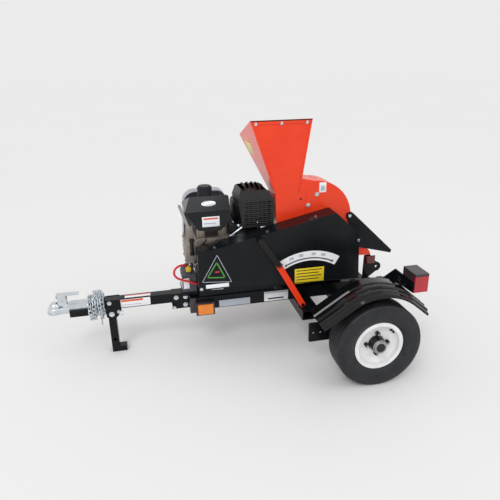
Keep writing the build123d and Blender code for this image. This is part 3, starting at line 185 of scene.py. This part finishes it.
# Steel wire of the muffler's cage in dark enamel, painted a lighter grey: a painted highlight for
# the shine along the wires.
wire_painted_highlight = surface("grey_wire_painted_highlight", "#56565c", "#3d3c40", 0.38, 1.5, 0.05,
                        metallic=0.5)
# Flexible PVC boot over the live terminal.
yellow_boot = surface("yellow_pvc_boot", "#e3c62a", "#cfb31f", 0.4, 2.0, 0.05)

FINISHES = {
    "black_paint": black_coat, "orange_paint": orange_coat, "white_paint": white_enamel,
    "zinc": zinc_plate, "bare_steel": turned_steel, "tool_steel": ground_steel,
    "cast_iron": cast_iron, "cast_aluminium": die_cast, "grey_paint": grey_coat,
    "tyre_rubber": tyre_rubber, "rubber": sheet_rubber, "red_rubber": red_pvc,
    "grip_vinyl": dipped_vinyl, "black_plastic": nylon, "lamp_plastic": lamp_abs,
    "red_lens": red_acrylic, "amber_lens": amber_acrylic, "battery_plastic": battery_case,
    "heat_black": stove_enamel}

for part in frame["record"]["subparts"]:
    slots = frame["nodes"][part["node"]].material_slots
    for slot in slots:
        slot.material = FINISHES[part["material_slot"]]
for node, finish in (("near_fender", gloss_black), ("far_fender", gloss_black),
                     ("fuel_tank", tank_black)):
    for slot in frame["nodes"][node].material_slots:
        slot.material = finish


# ================================================================ modelling helpers
def deselect_all():
    if bpy.context.object and bpy.context.object.mode != "OBJECT":
        bpy.ops.object.mode_set(mode="OBJECT")
    bpy.ops.object.select_all(action="DESELECT")


def settle(name, body, slot, material=None, smooth=35):
    """Names the active piece, fixes its place in its mesh and says what it rides on."""
    piece = bpy.context.object
    bpy.ops.object.transform_apply(location=True, rotation=True, scale=True)
    bpy.ops.object.shade_smooth_by_angle(angle=radians(smooth))
    piece.name = piece.data.name = name
    piece.data.materials.clear()
    piece.data.materials.append(material or FINISHES[slot])
    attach(piece, body)
    return piece


def block(centre, size, bevel=0.5, turn=(0, 0, 0), segments=2):
    """A box in mm with bevelled edges, turned by degrees about its centre."""
    deselect_all()
    bpy.ops.mesh.primitive_cube_add(size=1, location=at(*centre))
    box = bpy.context.object
    box.dimensions = [s * MM for s in size]
    bpy.ops.object.transform_apply(location=False, rotation=False, scale=True)
    bpy.ops.object.mode_set(mode="EDIT")
    bpy.ops.mesh.select_all(action="SELECT")
    bpy.ops.mesh.bevel(offset=bevel * MM, segments=segments, affect="EDGES")
    bpy.ops.object.mode_set(mode="OBJECT")
    box.rotation_euler = Euler([radians(a) for a in turn])
    bpy.ops.object.transform_apply(location=True, rotation=True, scale=True)
    return box


def rod(start, end, radius, bevel=0.4, sides=16):
    """A round bar in mm from start to end with bevelled ends."""
    a, b = at(*start), at(*end)
    deselect_all()
    bpy.ops.mesh.primitive_cylinder_add(vertices=sides, radius=radius * MM,
                                        depth=(b - a).length, location=(a + b) / 2)
    bar = bpy.context.object
    bpy.ops.object.mode_set(mode="EDIT")
    bpy.ops.mesh.select_mode(type="FACE")
    bpy.ops.mesh.select_all(action="DESELECT")
    bpy.ops.object.mode_set(mode="OBJECT")
    for face in bar.data.polygons:
        face.select = len(face.vertices) > 4
    bpy.ops.object.mode_set(mode="EDIT")
    bpy.ops.mesh.bevel(offset=bevel * MM, segments=2, affect="EDGES")
    bpy.ops.object.mode_set(mode="OBJECT")
    bar.rotation_euler = (b - a).to_track_quat("Z", "Y").to_euler()
    bpy.ops.object.transform_apply(location=True, rotation=True, scale=True)
    return bar


def ring(centre, axis, radius, thickness, squash=1.0, sides=72):
    """A round-section ring about an axis, flattened along it by squash."""
    deselect_all()
    bpy.ops.mesh.primitive_torus_add(major_segments=sides, minor_segments=10,
                                     major_radius=radius * MM, minor_radius=thickness * MM)
    hoop = bpy.context.object
    bpy.ops.object.mode_set(mode="EDIT")
    bpy.ops.transform.resize(value=(1, 1, squash))
    bpy.ops.object.mode_set(mode="OBJECT")
    hoop.rotation_euler = Vector(axis).to_track_quat("Z", "Y").to_euler()
    hoop.location = at(*centre)
    bpy.ops.object.transform_apply(location=True, rotation=True, scale=True)
    return hoop


def join(pieces):
    """Joins finished pieces into one mesh."""
    deselect_all()
    for piece in pieces:
        piece.select_set(True)
    bpy.context.view_layer.objects.active = pieces[0]
    if len(pieces) > 1:
        bpy.ops.object.join()
    return bpy.context.object


def near_face(node):
    """Y of a node's face on the near side, in mm."""
    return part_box(node)[0].y / MM


def side_label(name, body, low, high, y, material, thick=FILM):
    """A film label on an upright face of the near side, from its low to its high corner (x, z)."""
    block(((low[0] + high[0]) / 2, y - thick / 2, (low[1] + high[1]) / 2),
          (high[0] - low[0], thick, high[1] - low[1]), bevel=0.15)
    return settle(name, body, "white_paint", material)


# ================================================================ labels
guard_y = near_face("belt_guard")
rail_y = -100.0
bar_y = -25.0

side_label("rail_label_front", "frame", (-642, 230), (-480, 266), rail_y, grey_vinyl)
side_label("rail_label_rear", "frame", (-405, 231), (-276, 284), rail_y, white_vinyl)
side_label("rail_label_stripe", "frame", (-384, 240), (-300, 248), rail_y - FILM, black_vinyl)
side_label("rail_label_band", "frame", (-403, 274), (-278, 282), rail_y - FILM, grey_vinyl)
side_label("drawbar_label", "frame", (-1132, 252), (-984, 294), bar_y, white_vinyl)
side_label("drawbar_label_stripe", "frame", (-1130, 281), (-1020, 292), bar_y - FILM, orange_vinyl)
side_label("drawbar_label_text", "frame", (-1126, 262), (-1030, 266), bar_y - FILM, grey_vinyl)
block((-1045, 0, 298.25), (128, 30, 0.5), bevel=FILM_EDGE)
settle("drawbar_top_label", "frame", "white_paint", white_vinyl)
block((-1045, 9, 298.75), (124, 8, 0.5), bevel=FILM_EDGE)
settle("drawbar_top_stripe", "frame", "white_paint", orange_vinyl)
side_label("guard_label_yellow", "frame", (-271, 358), (-118, 438), guard_y, yellow_vinyl)
side_label("guard_name_strip", "frame", (-716, 384), (-604, 404), guard_y, white_vinyl)
side_label("guard_name_line", "frame", (-690, 373), (-632, 377), guard_y, white_vinyl)
housing_y = near_face("rotor_housing")
side_label("housing_label", "frame", (-116, 790), (-80, 840), housing_y, white_vinyl)
side_label("housing_label_mark", "frame", (-108, 800), (-88, 824), housing_y - FILM, grey_vinyl)

for row in range(4):            # blank lines of print on the yellow label
    z = 424 - 16 * row
    side_label(f"guard_label_line_{row}", "frame", (-262, z), (-130 - 14 * (row % 2), z + 5),
               guard_y - FILM, black_vinyl, thick=0.3)


def outline_triangle(name, corners, width, y, material):
    """A flat triangle outline on an upright face, its corners given as (x, z)."""
    bars = []
    for (x0, z0), (x1, z1) in zip(corners, corners[1:] + corners[:1]):
        length = hypot(x1 - x0, z1 - z0)
        lean = -degrees(atan2(z1 - z0, x1 - x0))
        bars.append(block(((x0 + x1) / 2, y - 0.25, (z0 + z1) / 2), (length + width, 0.5, width),
                          bevel=FILM_EDGE, turn=(0, lean, 0)))
    join(bars)
    return settle(name, "frame", "white_paint", material)


outline_triangle("guard_triangle_outer", [(-732, 420), (-590, 408), (-656, 552)], 2.5, guard_y,
                 grey_vinyl)
outline_triangle("guard_triangle_inner", [(-706, 441), (-622, 434), (-659, 515)], 6, guard_y,
                 green_vinyl)
side_label("guard_triangle_mark", "frame", (-669, 462), (-648, 470), guard_y, red_vinyl)


def arc_label(name, centre, inner, outer, start, end, y, material):
    """A curved strip on an upright face: start and end are degrees from upright, clockwise."""
    deselect_all()
    bpy.ops.mesh.primitive_grid_add(x_subdivisions=24, y_subdivisions=1, size=1)
    strip = bpy.context.object
    for vertex in strip.data.vertices:
        turn = radians(start + (end - start) * (vertex.co.x + 0.5))
        r = inner + (outer - inner) * (vertex.co.y + 0.5)
        vertex.co = at(centre[0] + r * sin(turn), y, centre[1] + r * cos(turn))
    strip.data.update()
    bpy.ops.object.modifier_add(type="SOLIDIFY")
    strip.modifiers[0].thickness = FILM * MM
    strip.modifiers[0].offset = 1
    bpy.ops.object.modifier_apply(modifier=strip.modifiers[0].name)
    return settle(name, "frame", "white_paint", material)


arc_centre, arc_middle, mark_middle = (-195, 223), 268, 289     # x, z and radii in mm
arc_label("lever_range_label", arc_centre, 255, 305, -31, 31, guard_y, white_vinyl)
arc_label("lever_range_arrow", arc_centre, 265, 271, -26, 25, guard_y - FILM, black_vinyl)
for tag, turn in (("rest", -27), ("engage", 26)):
    tip = (arc_centre[0] + arc_middle * sin(radians(turn)),
           arc_centre[1] + arc_middle * cos(radians(turn)))
    block((tip[0], guard_y - 0.75, tip[1]), (9, 0.5, 12), bevel=FILM_EDGE, turn=(0, turn + 45, 0))
    settle(f"lever_range_{tag}_head", "frame", "white_paint", black_vinyl)

for i, turn in enumerate((-19, -9, 4, 14)):     # blank marks where the real one has pictograms
    mark = (arc_centre[0] + mark_middle * sin(radians(turn)),
            arc_centre[1] + mark_middle * cos(radians(turn)))
    block((mark[0], guard_y - 0.75, mark[1]), (22, 0.5, 14), bevel=FILM_EDGE, turn=(0, turn, 0))
    settle(f"lever_range_mark_{i + 1}", "frame", "white_paint", grey_vinyl)

# ================================================================ feed hopper and housing
hopper_foot, hopper_top = 793, 1149             # heights of its throat and of its mouth
left_foot, left_top = -341, -462
right_foot, right_top = -218, -160
left_lean = degrees(atan((left_foot - left_top) / (hopper_top - hopper_foot)))
right_lean = degrees(atan((right_top - right_foot) / (hopper_top - hopper_foot)))
hopper_y = near_face("feed_hopper")

lip_x, lip_length = (left_top + right_top) / 2, right_top - left_top - 8
block((lip_x, hopper_y - 1.5, 1138), (lip_length, 3, 16), bevel=1)
settle("hopper_lip", "frame", "orange_paint")
block((lip_x, hopper_y - 2.5, 1146.5), (lip_length + 4, 5, 4), bevel=1)
settle("hopper_edge_trim", "frame", "black_paint")
for name, foot, top, lean in (("left", left_foot, left_top, -left_lean),
                              ("right", right_foot, right_top, right_lean)):
    inset = 6 if name == "left" else -6
    block(((foot + top) / 2 + inset, hopper_y - 1.2, (hopper_foot + 1130) / 2 + 4),
          (9, 2.4, (1130 - hopper_foot) / cos(radians(lean))), bevel=1, turn=(0, lean, 0))
    settle(f"hopper_{name}_flange", "frame", "orange_paint")
label_z = 992
wall_x = left_foot - (label_z - hopper_foot) * (left_foot - left_top) / (hopper_top - hopper_foot)
block((wall_x - 0.3, 192, label_z), (0.5, 140, 80), bevel=FILM_EDGE, turn=(0, -left_lean, 0))
settle("hopper_side_label", "frame", "white_paint", pale_vinyl)
block((wall_x - 10.5, 192, label_z + 29), (0.5, 128, 12), bevel=FILM_EDGE, turn=(0, -left_lean, 0))
settle("hopper_side_label_band", "frame", "white_paint", orange_vinyl)

block((-186, housing_y - 0.8, 763), (3, 1.6, 160), bevel=0.6)
settle("housing_seam", "frame", "orange_paint")
ring((-211, housing_y - 0.3, 764), (0, 1, 0), 6.5, 1.2, squash=0.6, sides=32)
settle("housing_hole_rim", "frame", "orange_paint")
# A black disc fills the hole: painted shade for the dark inside of the hole.
rod((-211, housing_y + 0.4, 764), (-211, housing_y - 0.3, 764), 5.6, bevel=0.1, sides=24)
settle("housing_hole", "frame", "black_paint")

# ================================================================ belt guard
guard_front, guard_low_front, guard_low_rear = -749, 374, 352
fall = degrees(atan2(guard_low_front - guard_low_rear, 72 - guard_front))
block(((guard_front + 72) / 2, guard_y - 1.3, (guard_low_front + guard_low_rear) / 2 + 2),
      (72 - guard_front - 4, 2.6, 4), bevel=1.2, turn=(0, fall, 0), segments=3)
settle("guard_lower_hem", "frame", "black_paint")

# ================================================================ engine
tank_y = near_face("fuel_tank")
side_label("tank_label", "frame", (-706, 662), (-622, 712), tank_y, white_vinyl)
side_label("tank_label_band", "frame", (-700, 698), (-628, 706), tank_y - FILM, orange_vinyl)
side_label("tank_label_print", "frame", (-698, 676), (-640, 682), tank_y - FILM, grey_vinyl)
deselect_all()
bpy.ops.mesh.primitive_cylinder_add(vertices=48, radius=1, depth=1)
badge = bpy.context.object
badge.dimensions = (70 * MM, 30 * MM, 2.4 * MM)
badge.rotation_euler = (radians(46.2), 0, 0)
badge.location = at(-668, -64, 769.6)
bpy.ops.object.transform_apply(location=True, rotation=True, scale=True)
bpy.ops.object.modifier_add(type="BEVEL")
badge.modifiers[0].width = 0.8 * MM
badge.modifiers[0].segments = 2
bpy.ops.object.modifier_apply(modifier=badge.modifiers[0].name)
settle("tank_badge", "frame", "zinc")

for i, x in enumerate((-724, -700, -676, -580, -560)):         # ribs and studs of the crankcase
    block((x, -80, 580), (5, 5, 36), bevel=1.5)
    settle(f"crankcase_rib_{i + 1}", "frame", "cast_aluminium")
for i, x in enumerate((-732, -640, -590, -548)):
    rod((x, -76, 590), (x, -84, 590), 6, bevel=1, sides=6)
    settle(f"crankcase_bolt_{i + 1}", "frame", "bare_steel")
for i, (y, z) in enumerate(((-46, 482), (46, 482), (-46, 578), (46, 578))):
    rod((-790, y, z), (-797, y, z), 7, bevel=1, sides=6)
    settle(f"front_cover_bolt_{i + 1}", "frame", "bare_steel")
for i, z in enumerate((500, 520, 540, 560)):
    block((-793, 0, z), (5, 84, 5), bevel=1.5)
    settle(f"front_cover_rib_{i + 1}", "frame", "cast_aluminium")
join([rod((-760, -66, 520), (-760, -66, 586), 9, bevel=2, sides=24),
      rod((-760, -66, 584), (-760, -66, 598), 12, bevel=2, sides=24),
      rod((-760, -66, 514), (-760, -66, 524), 12, bevel=2, sides=24)])
settle("oil_filler_tube", "frame", "black_plastic")
join([rod((-752, -70, 470), (-716, -82, 560), 4.5, bevel=0.8),
      rod((-716, -82, 560), (-690, -82, 596), 4.5, bevel=0.8)])
settle("fuel_hose", "frame", "rubber")
block((-722, -80, 500), (26, 5, 60), bevel=1.5)
settle("crankcase_boss", "frame", "cast_aluminium")
for name, x in (("front", -712), ("rear", -606)):
    join([block((x, -52, 617), (38, 6, 46), bevel=1.5),
          block((x, -40, 603), (38, 26, 6), bevel=1.5),
          block((x - 14, -58, 620), (5, 10, 38), bevel=1.5),
          block((x + 14, -58, 620), (5, 10, 38), bevel=1.5)])
    settle(f"tank_bracket_{name}", "frame", "cast_aluminium")
join([rod((-566, -62, 596), (-498, -62, 640), 6.5, bevel=1),
      rod((-571, -62, 592.8), (-563, -62, 598), 9, bevel=1.5),
      rod((-504, -62, 636), (-497, -62, 640.6), 9, bevel=1.5)])
settle("breather_pipe", "frame", "zinc")
join([block((-548, -20, 622), (46, 50, 44), bevel=5, segments=3),
      rod((-548, -44, 622), (-548, -52, 622), 15, bevel=2, sides=32),
      rod((-530, -40, 612), (-530, -56, 612), 5, bevel=1)])
settle("carburettor", "frame", "black_plastic")

cage_y = near_face("muffler_guard")
cage_front, cage_rear, wire_y = -504, -360, cage_y + 1
# The wires' light grey is a painted highlight over their dark enamel.
join([rod((cage_front, wire_y, z), (cage_rear, wire_y, z), 1.4, bevel=0.3, sides=8)
      for z in range(660, 780, 10)])
settle("muffler_guard_wires", "frame", "heat_black", wire_painted_highlight)

# ================================================================ battery
battery_y = near_face("battery")
side_label("battery_label", "frame", (-813, 336), (-784, 392), battery_y, white_vinyl)
side_label("battery_label_band", "frame", (-811, 374), (-786, 388), battery_y - FILM, yellow_vinyl)
block((-818.3, 0, 352), (0.6, 92, 60), bevel=0.15)
settle("battery_front_label", "frame", "white_paint", white_vinyl)
join([block((-783, -44, 433), (26, 24, 24), bevel=4, segments=3),
      rod((-783, -44, 436), (-783, -44, 452), 8.5, bevel=2, sides=24)])
settle("terminal_boot", "frame", "red_rubber", yellow_boot)
for i in range(3):
    rod((-783, -22 + 22 * i, 409), (-783, -22 + 22 * i, 413), 8, bevel=1, sides=24)
    settle(f"battery_vent_cap_{i + 1}", "frame", "battery_plastic")

# ================================================================ clutch lever
lever_y = -212
lever_rise, lever_run = 128, 86                 # mm, the slope of the lever's upper half
# The block at the lever's joint, between the black grip and the orange bar, is coloured dark
# red-brown.
block((-358, lever_y, 477), (30, 15, 26), bevel=2.5,
      turn=(0, 90 - degrees(atan2(lever_rise, lever_run)), 0), segments=3)
settle("lever_socket", "clutch_lever", "grip_vinyl", socket_red_brown)

# ================================================================ rear post
# A dark red block, painted shade: the orange housing's lower lip where it lies in shadow below the
# deflector.
block((190, -81, 398), (52, 6, 44), bevel=1.5)
settle("post_painted_shade_block", "frame", "red_lens", painted_shade_red)

# ================================================================ wheels
wheel_y, wheel_z = 552.5, 202
stud_radius = 50.8              # mm, half of a 4 inch circle
rib_limit = 62.95               # mm, keeps the ribs inside the tyre's widest place


def sidewall(r):
    """How far outboard of the wheel's middle the tyre's side stands at radius r, in mm."""
    (r1, u1), (r2, u2), (r3, u3) = (118, 44.8), (154, 64), (188, 59)
    a, b, c = ((r - r2) * (r - r3) / ((r1 - r2) * (r1 - r3)),
               (r - r1) * (r - r3) / ((r2 - r1) * (r2 - r3)),
               (r - r1) * (r - r2) / ((r3 - r1) * (r3 - r2)))
    return a * u1 + b * u2 + c * u3


for name, s in (("near", -1), ("far", 1)):
    wheel = f"{name}_wheel"
    for i, r in enumerate((122, 128, 136, 166, 176, 182)):
        ring((0, s * (wheel_y + min(sidewall(r) - 1.1, rib_limit)), wheel_z), (0, 1, 0), r, 1.6)
        settle(f"{name}_sidewall_rib_{i + 1}", wheel, "tyre_rubber")
    lean, stem_radius = radians(48), 89
    stem = (sin(lean) * stem_radius, cos(lean) * stem_radius)
    join([rod((stem[0], s * (wheel_y + 16), wheel_z + stem[1]),
              (stem[0], s * (wheel_y + 38), wheel_z + stem[1]), 4, bevel=1),
          rod((stem[0], s * (wheel_y + 37), wheel_z + stem[1]),
              (stem[0], s * (wheel_y + 47), wheel_z + stem[1]), 5, bevel=1.2),
          rod((stem[0], s * (wheel_y + 15), wheel_z + stem[1]),
              (stem[0], s * (wheel_y + 22), wheel_z + stem[1]), 7.5, bevel=2)])
    settle(f"{name}_valve_stem", wheel, "rubber")
    ring((0, s * (wheel_y + 46.5), wheel_z), (0, 1, 0), 114, 1.6)
    settle(f"{name}_rim_bead", wheel, "white_paint")
    ring((0, s * (wheel_y + 15.8), wheel_z), (0, 1, 0), 69, 3, squash=0.5)
    settle(f"{name}_rim_step", wheel, "white_paint")
    rod((0, s * (wheel_y + 61.5), wheel_z), (0, s * (wheel_y + 63.6), wheel_z), 20.5, bevel=0.8,
        sides=48)
    settle(f"{name}_cap_plug", wheel, "rubber")
    ring((0, s * (wheel_y + 63.4), wheel_z), (0, 1, 0), 13, 1.1, sides=40)
    settle(f"{name}_cap_plug_ring", wheel, "rubber")
    ring((0, s * (wheel_y + 57), wheel_z), (0, 1, 0), 32, 1.2, sides=64)
    settle(f"{name}_cap_bead", wheel, "zinc")
    for i in range(4):
        turn = radians(90 * i)
        x, z = stud_radius * cos(turn), wheel_z + stud_radius * sin(turn)
        rod((x, s * (wheel_y + 30), z), (x, s * (wheel_y + 40), z), 5.4, bevel=1.2)
        settle(f"{name}_wheel_stud_{i + 1}", wheel, "bare_steel")

# ================================================================ camera, floor and light
camera = bpy.data.cameras.new("camera")
camera.lens = 35.27
camera.sensor_width = 36
eye = bpy.data.objects.new("camera", camera)
bpy.context.scene.collection.objects.link(eye)
azimuth, elevation, roll = radians(-12.26), radians(20.81), radians(-1.01)
towards = -Vector((sin(azimuth) * cos(elevation), -cos(azimuth) * cos(elevation), sin(elevation)))
eye.rotation_mode = "QUATERNION"
eye.rotation_quaternion = (towards.to_track_quat("-Z", "Y").to_matrix()
                           @ Matrix.Rotation(roll, 3, "Z")).to_quaternion()
eye.location = (-0.3685, -2.330, 1.393)
bpy.context.scene.camera = eye

deselect_all()
bpy.ops.mesh.primitive_plane_add(size=120, location=(0, 0, 0))
floor = bpy.context.object
floor.name = "floor"
floor.data.materials.append(surface("studio_floor", "#e5e5e5", "#e4e4e4", 0.9, 40, 0.01,
                                    spread=2000, ior=1.05))

world = bpy.data.worlds.new("studio")
bpy.context.scene.world = world
world.use_nodes = True
world.node_tree.nodes["Background"].inputs["Color"].default_value = linear("#ebebeb")
world.node_tree.nodes["Background"].inputs["Strength"].default_value = 1.0
bpy.context.scene.view_settings.view_transform = "Standard"


def soft_sun(name, bearing, height, spread, strength):
    """Even light from a bearing (degrees from the near side, towards the rear) and height."""
    lamp = bpy.data.lights.new(name, "SUN")
    lamp.angle = radians(spread)
    lamp.energy = strength
    holder = bpy.data.objects.new(name, lamp)
    bpy.context.scene.collection.objects.link(holder)
    way = Vector((sin(radians(bearing)) * cos(radians(height)),
                  -cos(radians(bearing)) * cos(radians(height)), sin(radians(height))))
    holder.rotation_euler = (-way).to_track_quat("-Z", "Y").to_euler()


soft_sun("key", -35, 48, 20, 0.75)
soft_sun("fill", 60, 35, 40, 0.3)


def strip_light(name, place, aim, size, power):
    """A long narrow lamp whose reflection runs along the curved and polished faces."""
    lamp = bpy.data.lights.new(name, "AREA")
    lamp.shape = "RECTANGLE"
    lamp.size, lamp.size_y = size
    lamp.energy = power
    holder = bpy.data.objects.new(name, lamp)
    bpy.context.scene.collection.objects.link(holder)
    holder.location = place
    holder.rotation_euler = (Vector(aim) - Vector(place)).to_track_quat("-Z", "Y").to_euler()


strip_light("front_strip", (-1.6, -2.6, 2.4), (0.5, -0.5, 0.3), (2.2, 0.12), 5)
strip_light("top_strip", (0.6, -0.4, 3.4), (0.5, -0.5, 0.3), (0.17, 2.4), 7)
